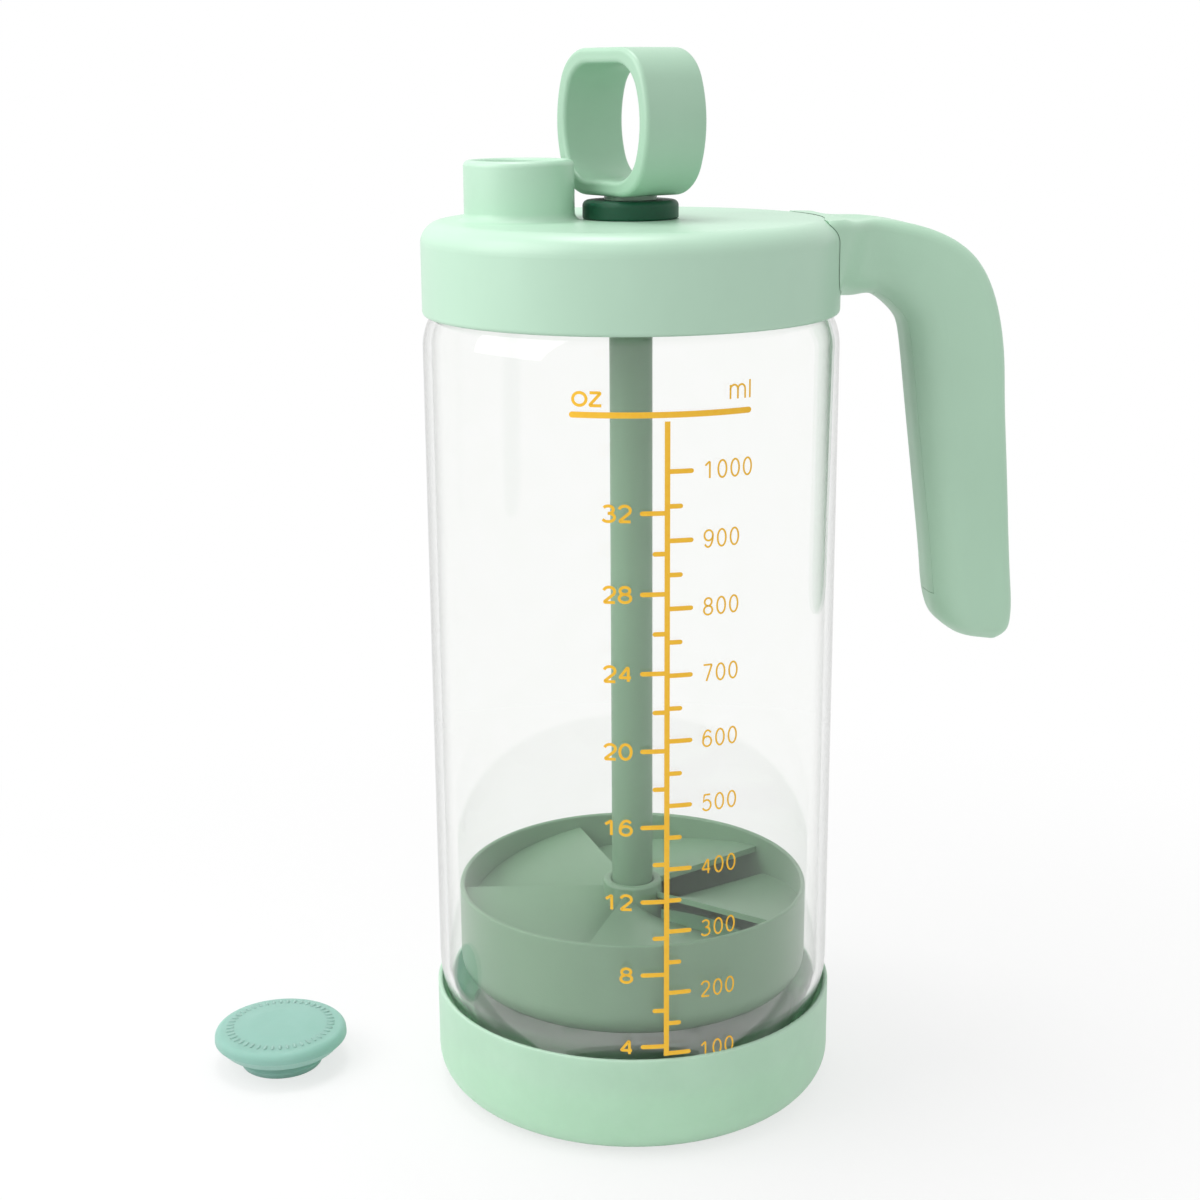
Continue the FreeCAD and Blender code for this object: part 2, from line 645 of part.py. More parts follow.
def spout_plug():
    """Soft stopper: a domed head on a ribbed, hollow skirt."""
    inside = PLUG_SKIRT_RADIUS - PLUG_WALL
    groove = PLUG_SKIRT_RADIUS - PLUG_RIB
    head_top = PLUG_SKIRT_HEIGHT + PLUG_HEAD_HEIGHT
    parting = PLUG_SKIRT_HEIGHT + PLUG_HEAD_HEIGHT * PLUG_PARTING
    plug = turned([
        (0, PLUG_SKIRT_HEIGHT),
        (inside, PLUG_SKIRT_HEIGHT, PLUG_CEILING_ROUND),
        (inside, 0, SMALL_EDGE),
        (groove, 0, PLUG_EDGE),
        (PLUG_SKIRT_RADIUS + PLUG_RIB, PLUG_SKIRT_HEIGHT * PLUG_RIB_MIDDLE, SMALL_EDGE),
        (groove, PLUG_SKIRT_HEIGHT * PLUG_RIB_END, SMALL_EDGE),
        (groove, PLUG_SKIRT_HEIGHT, SMALL_EDGE),
        (PLUG_HEAD_RADIUS - PLUG_UNDERCUT, PLUG_SKIRT_HEIGHT, PLUG_UNDER_ROUND),
        (PLUG_HEAD_RADIUS, parting, PLUG_EDGE),
        (PLUG_HEAD_RADIUS - PLUG_DRAFT, head_top - PLUG_DOME, PLUG_SHOULDER),
        (PLUG_HEAD_RADIUS * PLUG_FLAT, head_top, PLUG_DOME_ROUND),
        (0, head_top),
    ])
    plug.translate(FreeCAD.Vector(PLUG_X, PLUG_Y, 0))
    return plug


PIECES = (
    glass_jar, base_boot, lid_cap, lid_gasket, handle_shell, handle_cover,
    plunger_seal, finger_ring, plunger_rod, mixing_wheel, wheel_cap, spout_plug,
)
for piece in PIECES:
    save(piece.__name__, piece())
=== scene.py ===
import math

import bmesh
import bpy
from mathutils import Matrix, Quaternion, Vector


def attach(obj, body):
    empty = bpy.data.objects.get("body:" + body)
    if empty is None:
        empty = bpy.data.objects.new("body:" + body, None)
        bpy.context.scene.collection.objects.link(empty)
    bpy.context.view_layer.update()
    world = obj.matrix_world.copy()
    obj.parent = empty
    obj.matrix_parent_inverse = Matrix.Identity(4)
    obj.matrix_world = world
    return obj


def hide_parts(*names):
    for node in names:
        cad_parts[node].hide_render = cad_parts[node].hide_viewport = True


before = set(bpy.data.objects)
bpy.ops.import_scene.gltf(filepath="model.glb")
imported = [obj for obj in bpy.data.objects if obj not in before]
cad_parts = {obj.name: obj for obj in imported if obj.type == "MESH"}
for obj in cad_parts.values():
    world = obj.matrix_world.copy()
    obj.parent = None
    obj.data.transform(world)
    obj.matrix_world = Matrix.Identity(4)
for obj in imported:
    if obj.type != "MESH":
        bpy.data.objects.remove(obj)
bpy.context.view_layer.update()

# Sizes in millimetres. +X points to the handle, -Y to the printed scale, +Z up.
MM = 0.001

JAR_RADIUS = 48.0
JAR_WALL = 2.0
JAR_BOTTOM = 3.05
JAR_FOOT_ROUND = 30.0
JAR_SHOULDER = 186.8
JAR_SHOULDER_ROUND = 13.7
JAR_LIP = 206.9
NECK_RADIUS = 44.9
NECK_BORE = 43.1
NECK_FOOT = 191.23                  # where the neck starts, outside
NECK_FOOT_INSIDE = 190.31
NECK_FOOT_ROUND = 1.5
SHOULDER_STEP = 0.63                # how much lower the shoulder's corner is inside
JAR_SIDES = 240
THREAD_POINT_GAP = 0.25             # between the rings of points that carry the thread

LID_BORE = 46.3
THREAD_LEAD = 6.0                   # rise in one turn
THREAD_HEIGHT = 0.95
THREAD_TURNS = 1.35
THREAD_HALF_WIDTH = 1.35            # from the middle of the ridge to the foot of its flank
THREAD_FLANK = 0.8
THREAD_RUNOUT = 12                  # an end runs out in one turn divided by this
NECK_THREAD_START = 194.4
NECK_THREAD_FOOT = 192.5            # no thread below this height
NECK_WALL_MIDDLE = 44.0             # and none inside this radius
LID_THREAD_START = 192.3
LID_THREAD_TURNS = 1.2
LID_THREAD_FIRST = 54.0             # degrees
LID_THREAD_RADIUS = 0.85

PLUG_CENTRE = (-88.4, 13.5)
PLUG_PARTING = 7.12                 # height of the line where the two mould halves met
PLUG_RIM = 16.57
PARTING_ROOT = 0.5                  # how deep the parting line starts inside the rim
PARTING_HALF = 0.11                 # half its height there
PLUG_RIB_CIRCLE = 12.6
PLUG_RIB_HEIGHT = 10.02
PLUG_RIB_COUNT = 44

# Scale on the jar: s runs along the wall from the upright line, to the right as it is read.
SCALE_100 = 26.5                    # height of the 100 ml mark
SCALE_PER_100 = 15.0                # rise for 100 ml
ML_PER_OZ = 29.5735
OZ_DROP = 0.9                       # the ounce scale starts this much lower
SCALE_BOTTOM = 25.9
SCALE_TOP = 172.2
HEADER_HEIGHT = 173.6
HEADER_ENDS = (-20.9, 19.2)
PRINT_LIFT = 0.015
PRINT_FILM = 0.035
LINE_WIDTH = 1.2
STROKE = 1.05
ML_LONG, ML_SHORT = 5.75, 3.4
OZ_LONG, OZ_SHORT = 5.9, 3.2
ML_NUMBER_LEFT = 8.2
OZ_NUMBER_RIGHT = -7.85
ML_FIGURE = (1.95, 3.7, 3.08)       # width, height and step of a figure's pen line
OZ_FIGURE = (2.5, 3.4, 3.4)
ML_FIGURE_DROP = 1.87               # a figure's foot below the middle of its tick
FINE_STROKE = 0.42
BOLD_STROKE = 0.66
ML_UNIT_LOW = 176.2
ML_UNIT = (("m", 14.0, 3.6, 3.0), ("l", 18.8, 1, 3.9))          # letter, left, width and height
OZ_UNIT_LOW = 175.6
OZ_UNIT = (("o", -20.05, 2.9, 2.7), ("z", -16.5, 2.6, 2.7))

FLOOR_HALF = 3000
FLOOR_DROP = 0.05                   # the floor lies this much under the foot
FLOOR_WHITE = (0.08, 0.30)          # metres from the jar's axis over which it fades to white
FLOOR_GLOW = 0.70                   # share of plain white close to the jar
SHADE_FILL = 0.66                   # strength of the sky as light

CAMERA_POINT = (-0.07303, -0.45268, 0.24210)
CAMERA_PITCH = 14.787               # degrees below level
CAMERA_YAW = 8.22                   # degrees from +Y towards +X
CAMERA_ROLL = -0.395                # degrees about the line of sight
CAMERA_LENS = 59.455


# ------------------------------------------------------------------ node trees

class Wire:
    """A node's output. Arithmetic on it adds Math nodes to its tree."""

    def __init__(self, tree, socket):
        self.tree = tree
        self.socket = socket

    def math(self, operation, first, second):
        return self.tree.node("ShaderNodeMath", {"operation": operation}, {0: first, 1: second})

    def __add__(self, other):
        return self.math("ADD", self, other)

    def __radd__(self, other):
        return self.math("ADD", other, self)

    def __sub__(self, other):
        return self.math("SUBTRACT", self, other)

    def __rsub__(self, other):
        return self.math("SUBTRACT", other, self)

    def __mul__(self, other):
        return self.math("MULTIPLY", self, other)

    def __truediv__(self, other):
        return self.math("DIVIDE", self, other)

    def __mod__(self, other):
        return self.math("FLOORED_MODULO", self, other)

    def __lt__(self, other):
        return self.math("LESS_THAN", self, other)

    def least(self, other):
        return self.math("MINIMUM", self, other)

    def most(self, other):
        return self.math("MAXIMUM", self, other)

    def root(self):
        return self.math("SQRT", self, 0.0)

    def cosine(self):
        return self.math("COSINE", self, 0.0)


class Tree:
    """A node tree whose nodes all come from one method."""

    def __init__(self, nodes):
        self.nodes = nodes

    def node(self, kind, settings=None, sockets=None, output=0):
        made = self.nodes.nodes.new(kind)
        for name, value in (settings or {}).items():
            setattr(made, name, value)
        for name, value in (sockets or {}).items():
            if isinstance(value, Wire):
                self.nodes.links.new(value.socket, made.inputs[name])
            else:
                made.inputs[name].default_value = value
        return Wire(self, made.outputs[output]) if made.outputs else None


class Finish(Tree):
    """A material, built node by node on object coordinates."""

    def __init__(self, name):
        self.material = bpy.data.materials.new(name)
        self.material.use_nodes = True
        super().__init__(self.material.node_tree)
        self.nodes.nodes.clear()
        self.place = self.node("ShaderNodeTexCoord", output="Object")

    def noise(self, size, detail=3.0, roughness=0.5, stretch=(1, 1, 1)):
        """Noise from 0 to 1 whose features are about size millimetres across."""
        point = self.node("ShaderNodeVectorMath", {"operation": "MULTIPLY"}, {0: self.place, 1: stretch})
        sockets = {"Vector": point, "Scale": 1 / (size * MM), "Detail": detail, "Roughness": roughness}
        return self.node("ShaderNodeTexNoise", None, sockets)

    def ramp(self, value, low, high):
        """0 below low, 1 above high and smooth between them."""
        return self.node("ShaderNodeMapRange", {"interpolation_type": "SMOOTHSTEP"},
                         {"Value": value, "From Min": low, "From Max": high})

    def blend(self, factor, first, second):
        return self.node("ShaderNodeMix", {"data_type": "RGBA"}, {0: factor, 6: first, 7: second}, output=2)

    def bump(self, height, depth, under=None):
        """Normal of a height from 0 to 1 that stands for a depth in millimetres."""
        sockets = {"Height": height, "Strength": 1.0, "Distance": depth * MM}
        if under is not None:
            sockets["Normal"] = under
        return self.node("ShaderNodeBump", None, sockets)

    def worn_edges(self, width, gain):
        """Brighter where the surface is convex: edges that handling has polished."""
        pointed = self.node("ShaderNodeNewGeometry", output="Pointiness")
        return self.ramp(pointed, 0.5 + width, 0.5 + width + gain)

    def surface(self, settings):
        shader = self.node("ShaderNodeBsdfPrincipled", None, settings)
        self.output(Surface=shader)
        return self.material

    def output(self, **sockets):
        self.node("ShaderNodeOutputMaterial", None, sockets)


def srgb(red, green, blue):
    """A colour given as 0..255 for the screen, as linear values."""
    def channel(value):
        value /= 255
        return value / 12.92 if value <= 0.04045 else ((value + 0.055) / 1.055) ** 2.4
    return channel(red), channel(green), channel(blue), 1.0


# ------------------------------------------------------------------ finishes

def moulded_plastic(name, colour, deep, roughness=0.40, grain=0.006):
    """Satin polypropylene: cloudy flow in its colour, a fine mould grain and polished edges."""
    finish = Finish(name)
    flow = finish.noise(34.0, 4.0, 0.55, (1.0, 1.0, 0.5))
    grit = finish.noise(0.55, 2.0)
    sink = finish.noise(13.0, 2.0)
    scuff = finish.ramp(finish.noise(3.2, 6.0, 0.72, (1.0, 1.0, 2.6)), 0.62, 0.78)
    base = finish.blend(finish.ramp(flow, 0.32, 0.68), srgb(*deep), srgb(*colour))
    rough = roughness + (flow - 0.5) * 0.08 + (grit - 0.5) * 0.10 + scuff * 0.07
    rough = rough - finish.worn_edges(0.02, 0.12) * 0.08
    normal = finish.bump(grit, grain)
    normal = finish.bump(sink, 0.020, normal)
    return finish.surface({
        "Base Color": base, "Roughness": rough, "Normal": normal, "Specular IOR Level": 0.75,
    })


def soft_silicone(name, colour, deep, roughness=0.58, sheen=0.12):
    """Moulded silicone: matte, with a powdery bloom and a faint drag in its skin."""
    finish = Finish(name)
    bloom = finish.noise(15.0, 5.0, 0.62)
    grit = finish.noise(0.42, 2.0)
    drag = finish.noise(3.4, 3.0, 0.5, (1.0, 1.0, 3.0))
    lint = finish.ramp(finish.noise(1.1, 2.0), 0.74, 0.80)
    base = finish.blend(finish.ramp(bloom, 0.30, 0.70), srgb(*deep), srgb(*colour))
    rough = roughness + (bloom - 0.5) * 0.16 + (drag - 0.5) * 0.06 + lint * 0.08
    normal = finish.bump(grit, 0.006)
    normal = finish.bump(drag, 0.008, normal)
    return finish.surface({
        "Base Color": base, "Roughness": rough, "Normal": normal, "Specular IOR Level": 0.38,
        "Sheen Weight": sheen, "Sheen Roughness": 0.45,
        "Subsurface Weight": 0.6, "Subsurface Radius": (1.0, 1.0, 1.0), "Subsurface Scale": 3.0 * MM,
    })


def clear_glass(name):
    """Borosilicate tube glass: clear, with painted shade that greys the wall where it is seen edge on,
    faintly handled.
    """
    finish = Finish(name)
    draw = finish.noise(40.0, 1.0, 0.4, (1.0, 1.0, 0.3))
    film = finish.noise(9.0, 5.0, 0.62)
    facing = finish.node("ShaderNodeLayerWeight", None, {"Blend": 0.5}, output="Facing")
    clear = finish.blend(film, (1.0, 1.0, 1.0, 1.0), srgb(252, 253, 251))
    # painted shade: the base colour turns grey towards the silhouette, in place of dark reflections
    clear_with_painted_edge_shade = finish.blend(finish.ramp(facing, 0.66, 1.0), clear, srgb(112, 117, 111))
    rough = 0.01 + finish.ramp(film, 0.5, 0.9) * 0.02
    glass = finish.node("ShaderNodeBsdfPrincipled", None, {
        "Base Color": clear_with_painted_edge_shade, "Roughness": rough, "Normal": finish.bump(draw, 0.003),
        "IOR": 1.47, "Transmission Weight": 1.0,
    })
    lit_through = finish.node("ShaderNodeBsdfTransparent", None, {"Color": srgb(246, 247, 245)})
    from_lamp = finish.node("ShaderNodeLightPath", output="Is Shadow Ray")
    depth = finish.node("ShaderNodeVolumeAbsorption", None, {
        "Color": srgb(188, 197, 191), "Density": 12.0,
    })
    surface = finish.node("ShaderNodeMixShader", None, {0: from_lamp, 1: glass, 2: lit_through})
    finish.output(Surface=surface, Volume=depth)
    return finish.material


def fired_enamel(name):
    """Screen print fired on glass: warm yellow with thin spots and a faintly raised skin."""
    finish = Finish(name)
    thin = finish.noise(1.5, 4.0, 0.6)
    mesh = finish.noise(0.35, 2.0)
    base = finish.blend(finish.ramp(thin, 0.3, 0.7), srgb(253, 194, 48), srgb(255, 201, 56))
    rough = 0.42 + (mesh - 0.5) * 0.25
    return finish.surface({
        "Base Color": base, "Roughness": rough, "Normal": finish.bump(mesh, 0.004),
        "Specular IOR Level": 0.4,
    })


MINT_PLASTIC = moulded_plastic("mint_plastic", (186, 221, 197), (181, 216, 192))
RING_PLASTIC = moulded_plastic("ring_plastic", (172, 209, 183), (167, 204, 178))
HANDLE_PLASTIC = moulded_plastic("handle_plastic", (184, 222, 195), (179, 217, 190), 0.42)
WHEEL_PLASTIC = moulded_plastic("wheel_plastic", (137, 175, 143), (131, 170, 138), 0.44)
ROD_PLASTIC = moulded_plastic("rod_plastic", (128, 167, 135), (122, 161, 129), 0.44)
BOOT_SILICONE = soft_silicone("boot_silicone", (191, 230, 201), (186, 225, 196))
SEAL_SILICONE = soft_silicone("seal_silicone", (13, 82, 56), (10, 76, 51), 0.52, 0.03)
PLUG_SILICONE = soft_silicone("plug_silicone", (151, 195, 183), (145, 190, 177))
# painted highlight: a lighter copy of the plug's silicone for its parting line
PLUG_LINE_HIGHLIGHT = soft_silicone("plug_edge_silicone", (178, 222, 209), (172, 217, 204))
GASKET_SILICONE = soft_silicone("gasket_silicone", (228, 232, 224), (220, 225, 217), 0.5)
JAR_GLASS = clear_glass("jar_glass")
SCALE_ENAMEL = fired_enamel("scale_enamel")


# ------------------------------------------------------------------ mesh helpers

def finished(name, bm, material, crease=35.0):
    """An object at the origin from a bmesh in millimetres, smooth but for sharp edges."""
    bmesh.ops.scale(bm, vec=(MM, MM, MM), verts=bm.verts)
    bmesh.ops.remove_doubles(bm, verts=bm.verts, dist=1e-7)
    bmesh.ops.recalc_face_normals(bm, faces=bm.faces)
    mesh = bpy.data.meshes.new(name)
    bm.to_mesh(mesh)
    bm.free()
    mesh.shade_smooth()
    mesh.set_sharp_from_angle(angle=math.radians(crease))
    mesh.materials.append(material)
    return linked(name, mesh)


def linked(name, mesh):
    made = bpy.data.objects.new(name, mesh)
    bpy.context.scene.collection.objects.link(made)
    return made


def rounded(corners, steps=8, closed=True):
    """Points of an outline through corners (across, up) or (across, up, radius)."""
    points = []
    for index, corner in enumerate(corners):
        here = Vector(corner[:2])
        radius = corner[2] if len(corner) == 3 else 0
        if radius == 0 or (not closed and index in (0, len(corners) - 1)):
            points.append(here)
            continue
        before = (Vector(corners[index - 1][:2]) - here).normalized()
        after = (Vector(corners[(index + 1) % len(corners)][:2]) - here).normalized()
        half = before.angle(after) / 2
        centre = here + (before + after).normalized() * (radius / math.sin(half))
        arm = here + before * (radius / math.tan(half)) - centre
        turn = arm.angle_signed(here + after * (radius / math.tan(half)) - centre)
        for step in range(steps + 1):
            swung = arm.copy()
            swung.rotate(Matrix.Rotation(-turn * step / steps, 2))
            points.append(centre + swung)
    return points


def spin(bm, outline, segments, centre=(0, 0), closed=True, swell=None):
    """Turns an outline about an upright axis. swell(angle, radius, height) moves points outwards."""
    rings = []
    for radius, height in outline:
        if radius < 1e-6:
            rings.append([bm.verts.new((*centre, height))])
            continue
        ring = []
        for index in range(segments):
            angle = 2 * math.pi * index / segments
            reach = radius + (swell(angle, radius, height) if swell else 0)
            ring.append(bm.verts.new((centre[0] + reach * math.cos(angle),
                                      centre[1] + reach * math.sin(angle), height)))
        rings.append(ring)
    for first, second in zip(rings, rings[1:]):
        bridge(bm, first, second)
    if closed:
        bridge(bm, rings[-1], rings[0])
    return rings


def bridge(bm, first, second):
    """Faces between two rings, either of which may be a single point."""
    count = max(len(first), len(second))
    for index in range(count if len(first) + len(second) > 2 else 0):
        after = (index + 1) % count
        corners = []
        for vertex in (first[index % len(first)], first[after % len(first)],
                       second[after % len(second)], second[index % len(second)]):
            if vertex not in corners:
                corners.append(vertex)
        bm.faces.new(corners)


def stacked(points, radius, gap):
    """The outline with extra points on its upright stretch at a radius."""
    result = []
    for first, second in zip(points, points[1:] + points[:1]):
        result.append(first)
        if max(abs(first.x - radius), abs(second.x - radius)) < 0.01:
            count = int(abs(second.y - first.y) / gap) + 1
            result += [first.lerp(second, step / count) for step in range(1, count)]
    return result


def neck_thread(angle, radius, height):
    """How far the neck's screw thread stands out at a point. It runs out smoothly at both ends."""
    if radius <= NECK_WALL_MIDDLE or height <= NECK_THREAD_FOOT:
        return 0
    turn = angle / (2 * math.pi)
    best = 0.0
    for whole in range(-1, 3):
        along = turn + whole
        if 0 <= along <= THREAD_TURNS:
            off = abs(height - NECK_THREAD_START - THREAD_LEAD * along)
            flank = min(1.0, max(0.0, (THREAD_HALF_WIDTH - off) / THREAD_FLANK))
            runout = min(1.0, along * THREAD_RUNOUT, (THREAD_TURNS - along) * THREAD_RUNOUT)
            best = max(best, THREAD_HEIGHT * flank * math.sin(runout * math.pi / 2))
    return best


# ------------------------------------------------------------------ geometry node pieces

class Grown(Tree):
    """A mesh grown by geometry nodes from named inputs, and from lines where they are given."""

    def __init__(self, name, material, lines=None, **inputs):
        self.name = name
        self.material = material
        self.lines = lines or bpy.data.meshes.new(name + "_carrier")
        self.values = inputs
        group = bpy.data.node_groups.new(name, "GeometryNodeTree")
        super().__init__(group)
        self.sockets = {}
        group.interface.new_socket("Lines", in_out="INPUT", socket_type="NodeSocketGeometry")
        for label, value in inputs.items():
            kind = "NodeSocketInt" if isinstance(value, int) else "NodeSocketFloat"
            self.sockets[label] = group.interface.new_socket(label, in_out="INPUT", socket_type=kind)
        group.interface.new_socket("Mesh", in_out="OUTPUT", socket_type="NodeSocketGeometry")
        self.entry = group.nodes.new("NodeGroupInput")

    def size(self, label):
        return Wire(self, self.entry.outputs[label])

    def place(self, letter):
        point = self.node("GeometryNodeInputPosition")
        return self.node("ShaderNodeSeparateXYZ", None, {0: point}, output=letter)

    def keep(self, geometry, label, value, domain="POINT"):
        """Stores a value under a name on every point or instance."""
        return self.node("GeometryNodeStoreNamedAttribute", {"data_type": "FLOAT", "domain": domain},
                         {"Geometry": geometry, "Name": label, "Value": value})

    def kept(self, label):
        return self.node("GeometryNodeInputNamedAttribute", {"data_type": "FLOAT"}, {"Name": label})

    def mesh(self, geometry):
        """Evaluates the tree and returns what it makes as a bmesh."""
        real = self.node("GeometryNodeRealizeInstances", None, {0: geometry})
        dressed = self.node("GeometryNodeSetMaterial", None, {"Geometry": real, "Material": self.material})
        self.node("NodeGroupOutput", None, {0: dressed})
        carrier = linked(self.name + "_carrier", self.lines)
        modifier = carrier.modifiers.new(self.name, "NODES")
        modifier.node_group = self.nodes
        for label, value in self.values.items():
            modifier[self.sockets[label].identifier] = value
        ready = carrier.evaluated_get(bpy.context.evaluated_depsgraph_get())
        plain = bpy.data.meshes.new_from_object(ready)
        bpy.data.objects.remove(carrier)
        bm = bmesh.new()
        bm.from_mesh(plain)
        return bm


def pen_strokes(name, **sizes):
    """Level strokes with round ends, one above the other; each one in every so many is long."""
    tree = Grown(name, SCALE_ENAMEL, **sizes)
    size = tree.size
    grid = tree.node("GeometryNodeMeshGrid", None, {
        "Size X": 1.0, "Size Y": 2.0, "Vertices X": size("Columns"), "Vertices Y": 2})
    grid = tree.keep(grid, "along", tree.place("X") + 0.5)
    grid = tree.keep(grid, "across", tree.place("Y"))
    first = tree.node("ShaderNodeCombineXYZ", None, {"Z": size("First")})
    rise = tree.node("ShaderNodeCombineXYZ", None, {"Z": size("Rise")})
    line = tree.node("GeometryNodeMeshLine", None, {
        "Count": size("Count"), "Start Location": first, "Offset": rise})
    strokes = tree.node("GeometryNodeInstanceOnPoints", None, {"Points": line, "Instance": grid})
    is_long = (tree.node("GeometryNodeInputIndex") % size("Every")) < 0.5
    length = size("Short") + is_long * (size("Long") - size("Short"))
    strokes = tree.keep(strokes, "length", length, "INSTANCE")
    strokes = tree.node("GeometryNodeRealizeInstances", None, {0: strokes})
    length = tree.kept("length")
    reach = length * (0.5 - (tree.kept("along") * math.pi).cosine() * 0.5)
    from_end = reach.least(length - reach).least(size("Stroke") / 2)
    half = (from_end * (size("Stroke") - from_end)).root()
    point = tree.node("ShaderNodeCombineXYZ", None, {
        "X": (size("Start") + reach) * size("Side"), "Z": tree.place("Z") + tree.kept("across") * half})
    strokes = tree.node("GeometryNodeSetPosition", None, {"Geometry": strokes, "Position": point})
    return tree.mesh(tree.node("GeometryNodeMergeByDistance", None, {
        "Geometry": strokes, "Distance": 0.0005}))


def thread_ridge():
    """Round ridge that climbs inside the lid's skirt and runs out at both ends."""
    turn = math.radians(LID_THREAD_FIRST)
    tree = Grown("lid_thread", MINT_PLASTIC, Steps=150, Turns=LID_THREAD_TURNS, Radius=LID_BORE + 0.15,
                 Rise=THREAD_LEAD * LID_THREAD_TURNS, Start=LID_THREAD_START, Turned=turn,
                 Ridge=LID_THREAD_RADIUS)
    size = tree.size
    path = tree.node("GeometryNodeCurveSpiral", None, {
        "Resolution": size("Steps"), "Rotations": size("Turns"), "Start Radius": size("Radius"),
        "End Radius": size("Radius"), "Height": size("Rise"), "Reverse": True})
    share = tree.node("GeometryNodeSplineParameter")
    ends = (share * 14.0).least((1.0 - share) * 14.0).least(1.0)
    path = tree.node("GeometryNodeSetCurveRadius", None, {"Curve": path, "Radius": ends.most(0.02)})
    profile = tree.node("GeometryNodeCurvePrimitiveCircle", None, {
        "Resolution": 10, "Radius": size("Ridge")})
    ridge = tree.node("GeometryNodeCurveToMesh", None, {
        "Curve": path, "Profile Curve": profile, "Scale": ends.most(0.02), "Fill Caps": True})
    lift = tree.node("ShaderNodeCombineXYZ", None, {"Z": size("Start")})
    swing = tree.node("ShaderNodeCombineXYZ", None, {"Z": size("Turned")})
    return tree.mesh(tree.node("GeometryNodeTransform", None, {
        "Geometry": ridge, "Translation": lift, "Rotation": swing}))


def plug_ribs():
    """Short raised ribs in a circle on the plug's head, for wet fingers."""
    tree = Grown("plug_ribs", PLUG_SILICONE, Count=PLUG_RIB_COUNT, Circle=PLUG_RIB_CIRCLE,
                 Height=PLUG_RIB_HEIGHT, X=PLUG_CENTRE[0], Y=PLUG_CENTRE[1],
                 Length=2.2, Width=0.85, Proud=0.62)
    size = tree.size
    circle = tree.node("GeometryNodeMeshCircle", None, {
        "Vertices": size("Count"), "Radius": size("Circle")})
    ball = tree.node("GeometryNodeMeshUVSphere", None, {"Segments": 10, "Rings": 6, "Radius": 1.0})
    outwards = tree.node("FunctionNodeAlignRotationToVector", {"axis": "X"}, {
        "Vector": tree.node("GeometryNodeInputPosition")})
    shape = tree.node("ShaderNodeCombineXYZ", None, {
        "X": size("Length") / 2, "Y": size("Width") / 2, "Z": size("Proud") / 2})
    ribs = tree.node("GeometryNodeInstanceOnPoints", None, {
        "Points": circle, "Instance": ball, "Rotation": outwards, "Scale": shape})
    centre = tree.node("ShaderNodeCombineXYZ", None, {"X": size("X"), "Y": size("Y"), "Z": size("Height")})
    return tree.mesh(tree.node("GeometryNodeTransform", None, {"Geometry": ribs, "Translation": centre}))


# ------------------------------------------------------------------ pieces

def build_jar():
    """Glass jar with an even wall, a round foot and the screw thread of its neck."""
    inner = JAR_RADIUS - JAR_WALL
    lip = (NECK_RADIUS - NECK_BORE) * 0.4
    outline = rounded([
        (0, JAR_BOTTOM),
        (JAR_RADIUS, JAR_BOTTOM, JAR_FOOT_ROUND),
        (JAR_RADIUS, JAR_SHOULDER, JAR_SHOULDER_ROUND),
        (NECK_RADIUS, NECK_FOOT, NECK_FOOT_ROUND),
        (NECK_RADIUS, JAR_LIP, lip),
        (NECK_BORE, JAR_LIP, lip),
        (NECK_BORE, NECK_FOOT_INSIDE, NECK_FOOT_ROUND),
        (inner, JAR_SHOULDER - SHOULDER_STEP, JAR_SHOULDER_ROUND - JAR_WALL),
        (inner, JAR_BOTTOM + JAR_WALL, JAR_FOOT_ROUND - JAR_WALL),
        (0, JAR_BOTTOM + JAR_WALL),
    ], steps=16)
    outline = stacked(outline, NECK_RADIUS, THREAD_POINT_GAP)
    bm = bmesh.new()
    spin(bm, outline, JAR_SIDES, closed=False, swell=neck_thread)
    return finished("glass_jar_body", bm, JAR_GLASS, 70)


def outline_block(left, right, bottom, top):
    """A plain upright strip in the flat drawing of the scale."""
    bm = bmesh.new()
    corners = [(left, 0, bottom), (right, 0, bottom), (right, 0, top), (left, 0, top)]
    bm.faces.new([bm.verts.new(corner) for corner in corners])
    return bm


def bow(across, up, wide, high, first, last):
    """Points along an ellipse between two angles in degrees."""
    steps = max(5, int(abs(last - first) / 12))
    angles = [math.radians(first + (last - first) * step / steps) for step in range(steps + 1)]
    return [(across + wide * math.cos(angle), up + high * math.sin(angle)) for angle in angles]


# Pen lines of each figure in a box one unit wide and high; a third value rounds a corner, in mm.
FIGURES = {
    "0": [bow(0.5, 0.5, 0.5, 0.5, 0, 360)],
    "1": [[(0.05, 0.74), (0.58, 1, 0.15), (0.58, 0)]],
    "2": [bow(0.5, 0.71, 0.48, 0.29, 165, -45) + [(0, 0, 0.15), (1, 0)]],
    "3": [bow(0.46, 0.76, 0.44, 0.24, 150, -95), bow(0.46, 0.27, 0.54, 0.27, 95, -152)],
    "4": [[(0.76, 0), (0.76, 1, 0.15), (0, 0.27, 0.15), (1, 0.27)]],
    "5": [[(0.92, 1), (0.22, 1, 0.15)] + bow(0.48, 0.33, 0.52, 0.33, 140, -150)],
    "6": [bow(0.5, 0.31, 0.5, 0.31, 0, 360), bow(0.56, 0.34, 0.56, 0.66, 180, 48)],
    "7": [[(0, 1), (1, 1, 0.15), (0.36, 0)]],
    "8": [bow(0.5, 0.765, 0.42, 0.235, 0, 360), bow(0.5, 0.265, 0.5, 0.265, 0, 360)],
    "9": [bow(0.5, 0.69, 0.5, 0.31, 0, 360), bow(0.44, 0.66, 0.56, 0.66, 0, -132)],
    "o": [bow(0.5, 0.5, 0.5, 0.5, 0, 360)],
    "z": [[(0.04, 1), (0.96, 1, 0.15), (0, 0, 0.15), (1, 0)]],
    "m": [[(0, 0), (0, 1)], bow(0.25, 0.66, 0.25, 0.34, 180, 0) + [(0.5, 0)],
          bow(0.75, 0.66, 0.25, 0.34, 180, 0) + [(1, 0)]],
    "l": [[(0, 0), (0, 1)]],
}


